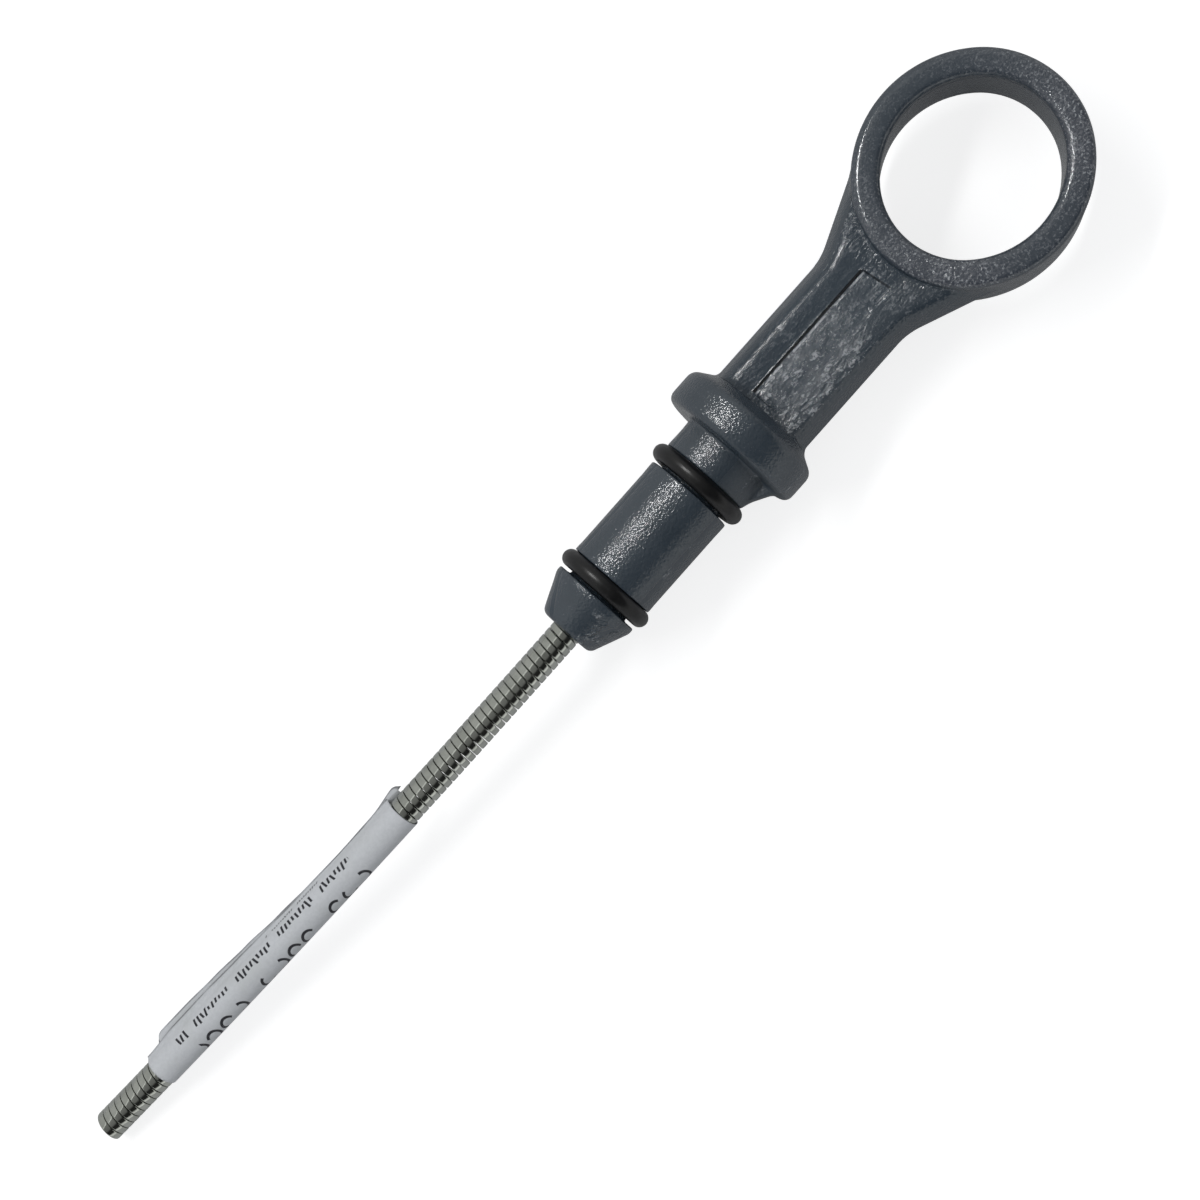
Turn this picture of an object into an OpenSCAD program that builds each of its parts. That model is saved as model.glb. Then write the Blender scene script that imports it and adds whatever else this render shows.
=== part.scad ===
// Engine oil dipstick: a moulded handle with a finger ring, neck, collar and sealing plug,
// two rubber rings on the plug, a sprung rod of close-wound flat wire, and a paper label.
// X runs from the finger ring to the rod, Z is square to the finger ring's face.
// The origin is on the plug's axis, in the plane of the collar's seat face.

/* [Finger ring] */
// Half the outside width of the oval finger ring
ring_outer_r = 16.65; // [14.8:0.05:19]
// Half the width of the oval finger hole
ring_hole_r = 12.5; // [9:0.05:13.4]
// How much longer than wide the finger ring is
ring_stretch = 2.2; // [0.4:0.1:5]
// Depth of the finger ring, through the finger hole
ring_depth = 10.6; // [8:0.1:12]
// Rounding of the finger ring's edges
ring_edge_r = 1.2; // [0.4:0.1:1.6]
// Distance from the collar's seat to the middle of the finger ring
ring_reach = 52.36; // [49:0.02:62]

/* [Neck] */
// Width of the neck at the middle of its depth
neck_w = 16.4; // [13:0.1:18]
// Depth of the neck, between its two flat faces
neck_depth = 7.4; // [5:0.1:7.8]
// How far each side falls back between the middle and a face
neck_draft = 1.5; // [0.3:0.1:2.2]
// Rounding between a side and a face
neck_edge_r = 1.2; // [0.3:0.1:2]
// Distance from the collar's seat to where the neck starts to widen
neck_reach = 29.3; // [26:0.1:33]

/* [Sunk panel on the neck] */
// Length of the panel
panel_l = 23.1; // [10:0.1:25]
// Width of the panel
panel_w = 5; // [3:0.1:8]
// Depth of the panel along its deeper edge
panel_sink = 0.4; // [0.15:0.05:0.8]
// Depth of the panel along its shallower edge
panel_shallow_sink = 0.12; // [0.02:0.02:0.3]
// Radius of the panel's corners
panel_corner_r = 0.6; // [0.2:0.1:1.4]
// How far the panel lies to the side of the neck's middle
panel_side = 0.2; // [-1:0.1:1]
// Distance from the collar's seat to the panel's near end
panel_start = 8.4; // [7.6:0.1:12]
// How much further the panel reaches along its shallower edge
panel_skew = 0.6; // [0:0.1:1]

/* [Collar] */
// Radius of the collar
collar_r = 11.25; // [9.6:0.05:13]
// Thickness of the collar at its rim
collar_rim_t = 5.2; // [3.6:0.1:7]
// How far the collar's top rises towards the neck
collar_rise = 1.8; // [0.6:0.1:3]
// Rounding of the rim's upper edge
collar_top_edge_r = 1.7; // [0.4:0.1:1.8]
// Rounding of the rim's seat edge
collar_seat_edge_r = 1.3; // [0.3:0.1:1.6]
// Width of the rib under the collar, out from the plug
rib_out = 2.4; // [1:0.1:3]
// Length of the rib along the plug
rib_l = 4.2; // [2:0.1:4.4]
// Thickness of the rib
rib_t = 2.4; // [0.8:0.1:3]

/* [Plug] */
// Radius of the plug
plug_r = 6.85; // [6.5:0.05:7.4]
// Distance from the collar's seat to the upper groove
upper_groove_x = 4.9; // [4.5:0.1:8]
// Distance from the collar's seat to the lower groove
lower_groove_x = 24.6; // [20:0.1:26]
// Width of each groove
groove_w = 3.1; // [2.9:0.1:4]
// Distance from the collar's seat to the tip of the nose
nose_x = 34.3; // [32:0.1:40]
// Length of the straight land between the lower groove and the nose's taper
nose_land = 0.9; // [0.3:0.1:2]
// Radius of the nose where its taper meets the tip's rounding
nose_tip_r = 4.4; // [3.8:0.1:5.4]
// Rounding of the nose's tip
nose_edge_r = 1.3; // [0.3:0.1:1.8]

/* [Rubber rings] */
// Thickness of a rubber ring's cord
rubber_d = 2.62; // [2.4:0.02:2.8]
// Outside diameter of the upper rubber ring
upper_ring_d = 16; // [15.4:0.1:16.6]
// Outside diameter of the lower rubber ring
lower_ring_d = 15.5; // [15:0.1:16.4]
// Gap between a rubber ring and the walls that hold it
rubber_gap = 0.03; // [0.01:0.01:0.1]

/* [Sprung rod] */
// Outside radius of the rod
rod_r = 2.3; // [2:0.05:2.8]
// Thickness of the flat wire, in from the outside
wire_t = 0.6; // [0.3:0.05:0.9]
// Width of the flat wire, along the rod
wire_w = 1.15; // [0.7:0.01:1.17]
// Distance from one turn to the next
turn_pitch = 1.25; // [1.2:0.01:1.5]
// Length of the rod outside the nose, along the plug's axis
rod_reach = 98.7; // [94:0.1:130]
// Length of the rod held inside the nose
rod_grip = 6; // [3:0.1:9]
// Clearance between the rod and its hole in the nose
rod_gap = 0.03; // [0.01:0.01:0.1]
// How far the rod's end sways to one side
rod_sway = 3.3; // [0.5:0.1:6]

/* [Paper label] */
// Length of the label, along the rod
label_l = 52; // [30:0.5:54]
// Distance from the nose to the label, along the rod
label_start = 34.9; // [20:0.1:38]
// Thickness of the paper
paper_t = 0.15; // [0.08:0.01:0.25]
// Gap between the paper and the rod
paper_gap = 0.06; // [0.02:0.01:0.15]
// How far the paper's two ends pinch together from the rod's axis
pinch_r = 2.75; // [2.7:0.05:3.4]
// How far the label's under end is slid back along the rod
under_slide = 2.8; // [0:0.1:4]
// Radius of the under end's corners
label_corner = 1.5; // [0.5:0.1:3]

/* [Hidden] */

round_fn = 96;
corner_steps = 5;
cut_over = 1;

// The finger ring is an oval of four quarter turns, tighter at its ends and wider at its sides.
// Their centres lie this far from the oval's middle, along it for the ends and across it for the sides.
oval_shift = ring_stretch / 2 / (2 - sqrt(2));
// How much the radii of the turns differ from half the widths
side_turn_more = oval_shift;
end_turn_less = oval_shift - ring_stretch / 2;

// neck
neck_half_w = neck_w / 2;
neck_half_d = neck_depth / 2;
neck_into_collar = collar_rim_t / 2;

// The flare's edge runs from the neck's corner to touch a circle just inside the ring's side
flare_bite = 0.4;
flare_r = ring_outer_r + side_turn_more - flare_bite;
flare_dx = ring_reach - neck_reach;
flare_dy = neck_half_w + oval_shift;
flare_touch = atan2(flare_dy, flare_dx) + acos(flare_r / norm([flare_dx, flare_dy]));
flare_end_x = -ring_reach + flare_r * cos(flare_touch);
flare_end_half_w = flare_r * sin(flare_touch) - oval_shift;

// collar and plug
collar_top_x = -collar_rim_t - collar_rise;
upper_floor_r = upper_ring_d / 2 - rubber_d - rubber_gap;
lower_floor_r = lower_ring_d / 2 - rubber_d - rubber_gap;
nose_start_x = lower_groove_x + groove_w;
groove_edge_r = 0.15;
root_r = 0.4;

// rod: it leaves the nose straight, then sags in one arc until its end lies level with the collar's rim
rod_hole_r = rod_r + rod_gap;
rod_drop = collar_r - rod_r;
rod_fall = norm([rod_drop, rod_sway]);
rod_lean = atan2(rod_sway, rod_drop);
arc_r = (rod_reach * rod_reach + rod_fall * rod_fall) / (2 * rod_fall);
arc_l = arc_r * asin(rod_reach / arc_r) * PI / 180;
rod_floor_gap = 0.1;
turn_sides = 14;
rod_l = rod_grip - rod_floor_gap + arc_l - wire_w;
turns = rod_l / turn_pitch;
wire_steps = floor(turns * turn_sides);

// label
paper_r = rod_r + paper_gap + paper_t / 2;
pinch_angle = acos(paper_r / pinch_r);
fin_gap = 0.05;
wrap_steps = 16;
fin_steps = 3;
label_rows = 21;
// Distance of the over end and the under end from the rod's axis, at even steps along the label
over_end = [3.15, 2.95, 2.9, 3, 3.15, 3.3, 3.45, 3.4, 2.95];
under_end = [3.75, 3.05, 2.95, 3.05, 3.3, 3.7, 4, 4.2, 4.2];

// Points along a path whose corners are rounded: each corner is [x, y, radius]
function unit(v) = v / norm(v);
function turn_between(a, b) = let (d = b - a) d > 180 ? d - 360 : (d < -180 ? d + 360 : d);
function corner(before, here, after) =
    here[2] == 0 ? [[here[0], here[1]]] :
    let (
        p = [here[0], here[1]],
        u = unit([before[0], before[1]] - p),
        v = unit([after[0], after[1]] - p),
        half = acos(u * v) / 2,
        middle = p + unit(u + v) * here[2] / sin(half),
        first = p + u * here[2] / tan(half) - middle,
        last = p + v * here[2] / tan(half) - middle,
        a0 = atan2(first[1], first[0]),
        sweep = turn_between(a0, atan2(last[1], last[0]))
    )
    [for (i = [0:corner_steps])
        middle + here[2] * [cos(a0 + sweep * i / corner_steps), sin(a0 + sweep * i / corner_steps)]];
function rounded(points) =
    let (n = len(points))
    [for (i = [0:n - 1]) each corner(points[(i + n - 1) % n], points[i], points[(i + 1) % n])];

// A value from an even list, at a share from 0 to 1 of its length, smoothed between its points
function along(list, share) =
    let (
        place = share * (len(list) - 1),
        i = min(floor(place), len(list) - 2),
        f = place - i,
        s = f * f * (3 - 2 * f)
    )
    list[i] * (1 - s) + list[i + 1] * s;

// The point of the rod's section at [y, z], a length s out from the nose along the sagging rod
function on_rod(s, y, z) =
    let (
        bend = max(s, 0) / arc_r * 180 / PI,
        down = -y * sin(rod_lean) - z * cos(rod_lean),
        across = -y * cos(rod_lean) + z * sin(rod_lean),
        fall = arc_r * (1 - cos(bend)) + down * cos(bend)
    )
    [
        nose_x + min(s, 0) + (arc_r - down) * sin(bend),
        -fall * sin(rod_lean) - across * cos(rod_lean),
        -fall * cos(rod_lean) + across * sin(rod_lean)
    ];

// The two triangles between four points, given in order round their outside
function two_triangles(a, b, c, d) = [[a, b, c], [a, c, d]];

// Turns a profile of [radius, x] about the plug's axis
module turned(profile) {
    rotate([0, 90, 0])
        rotate_extrude($fn = round_fn)
            polygon(profile);
}

// A quarter turn of the finger ring about the origin, its middle along X, with radii greater than half the widths
module ring_quarter(more) {
    half = ring_depth / 2;
    rotate([0, 0, -45])
        rotate_extrude(angle = 90, $fn = round_fn)
            polygon(rounded([
                [ring_hole_r + more, -half, ring_edge_r],
                [ring_outer_r + more, -half, ring_edge_r],
                [ring_outer_r + more, half, ring_edge_r],
                [ring_hole_r + more, half, ring_edge_r]
            ]));
}

module finger_ring() {
    translate([-ring_reach, 0, 0]) {
        for (turned_by = [0, 180])
            rotate([0, 0, turned_by])
                translate([oval_shift, 0, 0])
                    ring_quarter(-end_turn_less);
        for (turned_by = [90, 270])
            rotate([0, 0, turned_by])
                translate([-oval_shift, 0, 0])
                    ring_quarter(side_turn_more);
    }
}

// The neck's section at one half width: six sides, with the four long edges rounded
function neck_section(half_w) = rounded([
    [half_w - neck_draft, neck_half_d, neck_edge_r],
    [half_w, 0, 0],
    [half_w - neck_draft, -neck_half_d, neck_edge_r],
    [neck_draft - half_w, -neck_half_d, neck_edge_r],
    [-half_w, 0, 0],
    [neck_draft - half_w, neck_half_d, neck_edge_r]
]);

// The neck and its flare: one section drawn out straight from the collar, then widening to the ring
module neck() {
    stations = [
        [flare_end_x, flare_end_half_w],
        [-neck_reach, neck_half_w],
        [-neck_into_collar, neck_half_w]
    ];
    sides = len(neck_section(neck_half_w));
    points = [
        for (station = stations, p = neck_section(station[1]))
            [station[0], p[0], p[1]]
    ];
    walls = [
        for (i = [0:len(stations) - 2], k = [0:sides - 1])
            let (
                here = i * sides,
                next = (i + 1) * sides,
                m = (k + 1) % sides
            )
            each two_triangles(here + k, here + m, next + m, next + k)
    ];
    last = (len(stations) - 1) * sides;
    ring_cap = [for (k = [sides - 1:-1:0]) k];
    collar_cap = [for (k = [0:sides - 1]) last + k];
    polyhedron(points = points, faces = concat(walls, [ring_cap, collar_cap]), convexity = 4);
}

// The panel's floor slopes across the neck, from its deeper edge up to its shallower one
module panel() {
    translate([-panel_start - panel_l, panel_side - panel_w / 2, neck_half_d])
        intersection() {
            translate([0, 0, -neck_half_d])
                linear_extrude(height = neck_half_d + cut_over)
                    polygon(rounded([
                        [0, 0, panel_corner_r],
                        [panel_l, 0, panel_corner_r],
                        [panel_l, panel_w, panel_corner_r],
                        [-panel_skew, panel_w, panel_corner_r]
                    ]));
            translate([-cut_over - panel_skew, 0, 0])
                rotate([90, 0, 90])
                    linear_extrude(height = panel_l + panel_skew + 2 * cut_over)
                        polygon([
                            [0, -panel_sink],
                            [panel_w, -panel_shallow_sink],
                            [panel_w, cut_over],
                            [0, cut_over]
                        ]);
        }
}

// The neck stops inside the finger ring's wall
module finger_hole() {
    translate([-ring_reach, 0, -ring_depth])
        cylinder(r = ring_hole_r + ring_stretch / 2 + flare_bite, h = 2 * ring_depth, $fn = round_fn);
}

module collar() {
    turned(rounded([
        [0, collar_top_x, 0],
        [neck_half_w, collar_top_x, root_r],
        [collar_r, -collar_rim_t, collar_top_edge_r],
        [collar_r, 0, collar_seat_edge_r],
        [0, 0, 0]
    ]));
}

module plug() {
    turned(rounded([
        [0, -neck_into_collar, 0],
        [plug_r, -neck_into_collar, 0],
        [plug_r, upper_groove_x, groove_edge_r],
        [upper_floor_r, upper_groove_x, 0],
        [upper_floor_r, upper_groove_x + groove_w, 0],
        [plug_r, upper_groove_x + groove_w, groove_edge_r],
        [plug_r, lower_groove_x, groove_edge_r],
        [lower_floor_r, lower_groove_x, 0],
        [lower_floor_r, nose_start_x, 0],
        [plug_r, nose_start_x, groove_edge_r],
        [plug_r, nose_start_x + nose_land, root_r],
        [nose_tip_r, nose_x, nose_edge_r],
        [0, nose_x, 0]
    ]));
}

// The thin rib that braces the collar against the plug, on one side only
module rib() {
    translate([0, 0, -rib_t / 2])
        linear_extrude(height = rib_t)
            polygon([
                [-collar_rim_t / 2, 0],
                [-collar_rim_t / 2, plug_r + rib_out],
                [0, plug_r + rib_out],
                [rib_l, plug_r],
                [rib_l, 0]
            ]);
}

module rod_hole() {
    translate([nose_x - rod_grip, 0, 0])
        rotate([0, 90, 0])
            cylinder(r = rod_hole_r, h = rod_grip + cut_over, $fn = round_fn);
}

module handle() {
    color([0.24, 0.27, 0.31])
        difference() {
            union() {
                difference() {
                    neck();
                    finger_hole();
                    panel();
                }
                finger_ring();
                collar();
                plug();
                rib();
            }
            rod_hole();
        }
}

// A rubber ring lies against its groove's upper wall
module rubber_ring(outside_d, groove_x) {
    color([0.08, 0.08, 0.08])
        translate([groove_x + rubber_d / 2 + rubber_gap, 0, 0])
            rotate([0, 90, 0])
                rotate_extrude($fn = round_fn)
                    translate([(outside_d - rubber_d) / 2, 0])
                        circle(d = rubber_d, $fn = round_fn / 2);
}

module upper_rubber_ring() {
    rubber_ring(upper_ring_d, upper_groove_x);
}

module lower_rubber_ring() {
    rubber_ring(lower_ring_d, lower_groove_x);
}

// One flat wire wound left-handed from end to end of the rod, hollow inside
module sprung_rod() {
    corners = [
        [rod_r, 0],
        [rod_r, wire_w],
        [rod_r - wire_t, wire_w],
        [rod_r - wire_t, 0]
    ];
    points = [
        for (i = [0:wire_steps])
            let (
                turned_by = -360 * i / turn_sides,
                s = rod_floor_gap - rod_grip + turn_pitch * i / turn_sides
            )
            for (c = corners)
                on_rod(s + c[1], c[0] * cos(turned_by), c[0] * sin(turned_by))
    ];
    sides = [
        for (i = [0:wire_steps - 1], j = [0:3])
            let (
                here = 4 * i,
                next = 4 * (i + 1),
                k = (j + 1) % 4
            )
            each two_triangles(here + j, here + k, next + k, next + j)
    ];
    last = 4 * wire_steps;
    ends = concat(two_triangles(0, 3, 2, 1), two_triangles(last, last + 1, last + 2, last + 3));
    color([0.72, 0.73, 0.72])
        polyhedron(points = points, faces = concat(sides, ends), convexity = 10);
}

// The paper's path round the rod in section, as [y, z, turn of its outward side], from the over end to the under end
function paper_path(over, under) = concat(
    [for (i = [0:fin_steps - 1])
        [-over + (over - pinch_r) * i / fin_steps, fin_gap + paper_t / 2, 90]],
    [for (i = [0:wrap_steps])
        let (a = 180 - pinch_angle - (360 - 2 * pinch_angle) * i / wrap_steps)
        [paper_r * cos(a), paper_r * sin(a), a]],
    [for (i = [fin_steps - 1:-1:0])
        [-under + (under - pinch_r) * i / fin_steps, -fin_gap - paper_t / 2, -90]]
);

// How much a rounded corner takes off the under end, at a share from 0 to 1 of the label's length
function corner_loss(share) =
    let (d = min(share, 1 - share) * label_l)
    d >= label_corner ? 0 : label_corner - sqrt(max(0, 2 * label_corner * d - d * d));

module paper_label() {
    across = 2 * fin_steps + wrap_steps + 1;
    points = [
        for (row = [0:label_rows - 1])
            let (
                share = (1 - cos(180 * row / (label_rows - 1))) / 2,
                over = along(over_end, share),
                under = max(along(under_end, share) - corner_loss(share), pinch_r + paper_t),
                path = paper_path(over, under)
            )
            for (skin = [1, -1], k = [0:across - 1])
                let (
                    p = path[skin > 0 ? k : across - 1 - k],
                    slide = under_slide * pow((skin > 0 ? k : across - 1 - k) / (across - 1), 3),
                    off = skin * paper_t / 2
                )
                on_rod(label_start + share * label_l - slide, p[0] + off * cos(p[2]), p[1] + off * sin(p[2]))
    ];
    loop = 2 * across;
    walls = [
        for (row = [0:label_rows - 2], k = [0:loop - 1])
            let (
                here = row * loop,
                next = (row + 1) * loop,
                m = (k + 1) % loop
            )
            each two_triangles(here + k, next + k, next + m, here + m)
    ];
    end_row = (label_rows - 1) * loop;
    caps = [
        for (k = [0:across - 2])
            each concat(
                two_triangles(k, k + 1, loop - 2 - k, loop - 1 - k),
                two_triangles(end_row + loop - 1 - k, end_row + loop - 2 - k, end_row + k + 1, end_row + k)
            )
    ];
    color([0.9, 0.91, 0.92])
        polyhedron(points = points, faces = concat(walls, caps), convexity = 10);
}

handle();
upper_rubber_ring();
lower_rubber_ring();
sprung_rod();
paper_label();
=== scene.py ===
import math

import bpy
import numpy as np
import openvdb
from mathutils import Matrix, Vector


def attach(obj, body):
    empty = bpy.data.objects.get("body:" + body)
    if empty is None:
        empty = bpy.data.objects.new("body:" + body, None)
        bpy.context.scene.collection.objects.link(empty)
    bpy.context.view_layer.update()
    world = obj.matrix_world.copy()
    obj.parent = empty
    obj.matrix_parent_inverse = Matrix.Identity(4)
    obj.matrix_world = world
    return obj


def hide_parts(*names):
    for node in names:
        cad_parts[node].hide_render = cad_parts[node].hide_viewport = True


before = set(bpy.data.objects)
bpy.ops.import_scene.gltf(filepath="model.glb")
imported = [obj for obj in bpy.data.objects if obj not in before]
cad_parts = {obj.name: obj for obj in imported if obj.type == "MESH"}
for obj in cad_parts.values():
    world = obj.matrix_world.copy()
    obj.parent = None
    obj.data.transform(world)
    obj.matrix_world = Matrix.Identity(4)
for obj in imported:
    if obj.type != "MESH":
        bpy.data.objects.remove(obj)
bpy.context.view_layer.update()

# Lengths are in millimetres, as the construction gives them, and a mesh is turned into metres as it is made.
MM = 0.001

# Finger ring: an oval of four quarter turns, whose middles lie OVAL_SHIFT from the ring's own middle
RING_OUTER_R = 16.65
RING_HOLE_R = 12.5
RING_STRETCH = 2.2
RING_DEPTH = 10.6
RING_EDGE_R = 1.2
RING_REACH = 52.36
OVAL_SHIFT = RING_STRETCH / 2 / (2 - math.sqrt(2))

# Neck and its sunk panel. Each blend is the width of a fillet where two shapes meet.
NECK_HALF_W = 8.2
NECK_HALF_D = 3.7
NECK_DRAFT = 1.5
NECK_REACH = 29.3
NECK_CORNER_BLEND = 0.8
NECK_FACE_BLEND = 1.6
FLARE_BITE = 0.4
RING_ROOT_BLEND = 0.45
COLLAR_ROOT_BLEND = 1.0
RIB_ROOT_BLEND = 0.9
PANEL_NEAR = -8.4
PANEL_FAR = -31.5
PANEL_HALF_W = 2.5
PANEL_SIDE = 0.2
PANEL_SINK = 0.4
PANEL_SHALLOW_SINK = 0.12
PANEL_SKEW = 0.6
PANEL_CORNER_R = 0.6
PANEL_EDGE_BLEND = 0.08

# Collar, rib, plug and nose
COLLAR_R = 11.25
COLLAR_RIM = 5.2
COLLAR_RISE = 1.8
COLLAR_NECK_EDGE_R = 0.5
COLLAR_TOP_EDGE_R = 1.7
COLLAR_SEAT_EDGE_R = 1.3
RIB_OUT = 2.4
RIB_LENGTH = 4.2
RIB_THICKNESS = 2.4
RIB_FOOT_DEPTH = 0.05
RIB_INSIDE_R = 3.0
RIB_EDGE_BLEND = 0.4
PLUG_R = 6.85
PLUG_ROOT_R = 0.35
GROOVE_WIDTH = 3.1
GROOVE_EDGE_R = 0.2
UPPER_GROOVE = 4.9
LOWER_GROOVE = 24.6
NOSE_X = 34.3
NOSE_LAND = 0.9
NOSE_LIP_R = 0.25
NOSE_SHOULDER_R = 1.2
NOSE_TIP_R = 4.4
NOSE_EDGE_R = 1.3
HOLE_EDGE_R = 0.2

# Rubber rings
CORD_R = 1.31
UPPER_RING_R = 8.0
LOWER_RING_R = 7.75
RUBBER_GAP = 0.03

# Sprung rod: straight in the nose, then on an arc that falls ROD_DROP and sways ROD_SWAY by its end
ROD_R = 2.3
WIRE_THICKNESS = 0.6
WIRE_WIDTH = 1.15
WIRE_EDGE_R = 0.18
WIRE_EDGE_STEPS = 3
TURN_PITCH = 1.25
TURN_STEPS = 36
ROD_REACH = 98.7
ROD_GRIP = 6.0
ROD_GAP = 0.03
ROD_SWAY = 3.3
ROD_FLOOR_GAP = 0.1
ROD_DROP = COLLAR_R - ROD_R
ROD_FALL = math.hypot(ROD_DROP, ROD_SWAY)
ROD_LEAN = math.atan2(ROD_SWAY, ROD_DROP)
ARC_R = (ROD_REACH ** 2 + ROD_FALL ** 2) / (2 * ROD_FALL)
ARC_LENGTH = ARC_R * math.asin(ROD_REACH / ARC_R)

# Paper label. OVER_END and UNDER_END are how far its two ends reach from the rod's axis, at even places
# along it.
LABEL_LENGTH = 52.0
LABEL_START = 34.9
PAPER_THICKNESS = 0.13
PAPER_GAP = 0.07
PINCH_R = 2.75
FIN_GAP = 0.05
UNDER_SLIDE = 2.8
UNDER_CORNER = 1.5
OVER_END = (3.15, 2.95, 2.9, 3.0, 3.15, 3.3, 3.45, 3.4, 2.95)
UNDER_END = (3.75, 3.05, 2.95, 3.05, 3.3, 3.7, 4.0, 4.2, 4.2)

# Print on the label: each row's reach along the rod from the nose, and round the paper from its +Y side,
# then how far apart and how thick its strokes are, and what its chances start from
SMALL_PRINT = dict(run=(44.4, 81.3), rows=(4.1, 5.7), pitch=1.5, stroke=0.36, seed=8.0)
LARGE_PRINT = dict(run=(42.3, 79.2), rows=(-0.3, 2.5), pitch=2.9, stroke=0.44, seed=21.0)
FAINT_PRINT = dict(run=(49.4, 61.4), rows=(6.2, 6.9), pitch=0.9, stroke=0.26, seed=11.0)

# Wear with painted glints, and roughness, along the handle: where each starts, is full, is still full, and
# ends
COLLAR_SCUFFS_AND_GLINTS = (-33.0, -18.0, -7.5, -6.0)
FLARE_SCUFFS_AND_GLINTS = (-44.0, -40.0, -31.0, -27.0)
RIB_ROUGH_RUN = (-1.0, 0.0, 6.0, 7.0)

# Colours, as linear red, green and blue
SLATE_DARK = (0.031, 0.044, 0.058)
SLATE_PALE = (0.038, 0.052, 0.067)
# Painted shade for the sunk panel's edges
PANEL_EDGE_SHADE = (0.006, 0.007, 0.009)
# Pale greys for wear, which also stand for painted glints and the panel's painted highlight line
WEAR_AND_GLINT_PALE = (0.13, 0.14, 0.16)
WEAR_AND_GLINT_BRIGHT = (0.36, 0.38, 0.40)
# Painted sheen for the finger ring's ends, and painted glints on its faces
RING_END_SHEEN_GREY = (0.072, 0.076, 0.094)
RING_GLINT_GREY = (0.2, 0.21, 0.23)
RUBBER_BLACK = (0.005, 0.005, 0.0055)
RUBBER_DUST = (0.014, 0.014, 0.015)
STEEL_BRIGHT = (0.57, 0.585, 0.545)
STEEL_TARNISH = (0.44, 0.455, 0.42)
PAPER_SHADE = (0.60, 0.615, 0.635)
PAPER_WHITE = (0.655, 0.67, 0.69)
PAPER_MOTTLE = (0.55, 0.57, 0.565)
# Painted shade for the paper's underside
PAPER_UNDERSIDE_SHADE = (0.14, 0.13, 0.17)
# Painted shadow line for the paper's cut edges
PAPER_EDGE_SHADOW = (0.10, 0.10, 0.105)
PRINT_BLACK = (0.022, 0.022, 0.028)


# Node trees

class Number:
    """A number in a node tree that adds, multiplies and so on as in plain arithmetic."""

    def __init__(self, tree, socket):
        self.tree = tree
        self.socket = socket

    def combined(self, operation, *others):
        node = self.tree.nodes.new("ShaderNodeMath")
        node.operation = operation
        for slot, value in zip(node.inputs, (self,) + others):
            if isinstance(value, Number):
                self.tree.links.new(value.socket, slot)
            else:
                slot.default_value = value
        return Number(self.tree, node.outputs[0])

    def __add__(self, other):
        return self.combined("ADD", other)

    def __sub__(self, other):
        return self.combined("SUBTRACT", other)

    def __mul__(self, other):
        return self.combined("MULTIPLY", other)

    def __truediv__(self, other):
        return self.combined("DIVIDE", other)

    def __mod__(self, other):
        return self.combined("MODULO", other)

    def __abs__(self):
        return self.combined("ABSOLUTE")

    def sin(self):
        return self.combined("SINE")

    def cos(self):
        return self.combined("COSINE")

    def sqrt(self):
        return self.combined("SQRT")

    def floor(self):
        return self.combined("FLOOR")

    def fract(self):
        return self.combined("FRACT")

    def at_least(self, other):
        return self.combined("MAXIMUM", other)

    def at_most(self, other):
        return self.combined("MINIMUM", other)

    def above(self, other):
        return self.combined("GREATER_THAN", other)

    def below(self, other):
        return self.combined("LESS_THAN", other)

    def band(self, low, high, to_low=0.0, to_high=1.0):
        """A soft step from one value to the other, as this number goes from low to high."""
        step = self.tree.nodes.new("ShaderNodeMapRange")
        step.interpolation_type = "SMOOTHSTEP"
        self.tree.links.new(self.socket, step.inputs["Value"])
        step.inputs["From Min"].default_value = low
        step.inputs["From Max"].default_value = high
        step.inputs["To Min"].default_value = to_low
        step.inputs["To Max"].default_value = to_high
        return Number(self.tree, step.outputs["Result"])

    def band_mm(self, low, high, to_low=0.0, to_high=1.0):
        """The same soft step for a place in metres, between two places in millimetres."""
        return self.band(low * MM, high * MM, to_low, to_high)

    def stretch_mm(self, start, full, still_full, end):
        """1 along a stretch of places in millimetres, fading at both its ends."""
        return self.band_mm(start, full) * self.band_mm(end, still_full)


def new_material(name):
    """A material with its node tree emptied down to one Principled shader, and that shader."""
    material = bpy.data.materials.new(name)
    material.use_nodes = True
    nodes = material.node_tree.nodes
    nodes.clear()
    shader = nodes.new("ShaderNodeBsdfPrincipled")
    output = nodes.new("ShaderNodeOutputMaterial")
    material.node_tree.links.new(shader.outputs["BSDF"], output.inputs["Surface"])
    return material, shader


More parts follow.
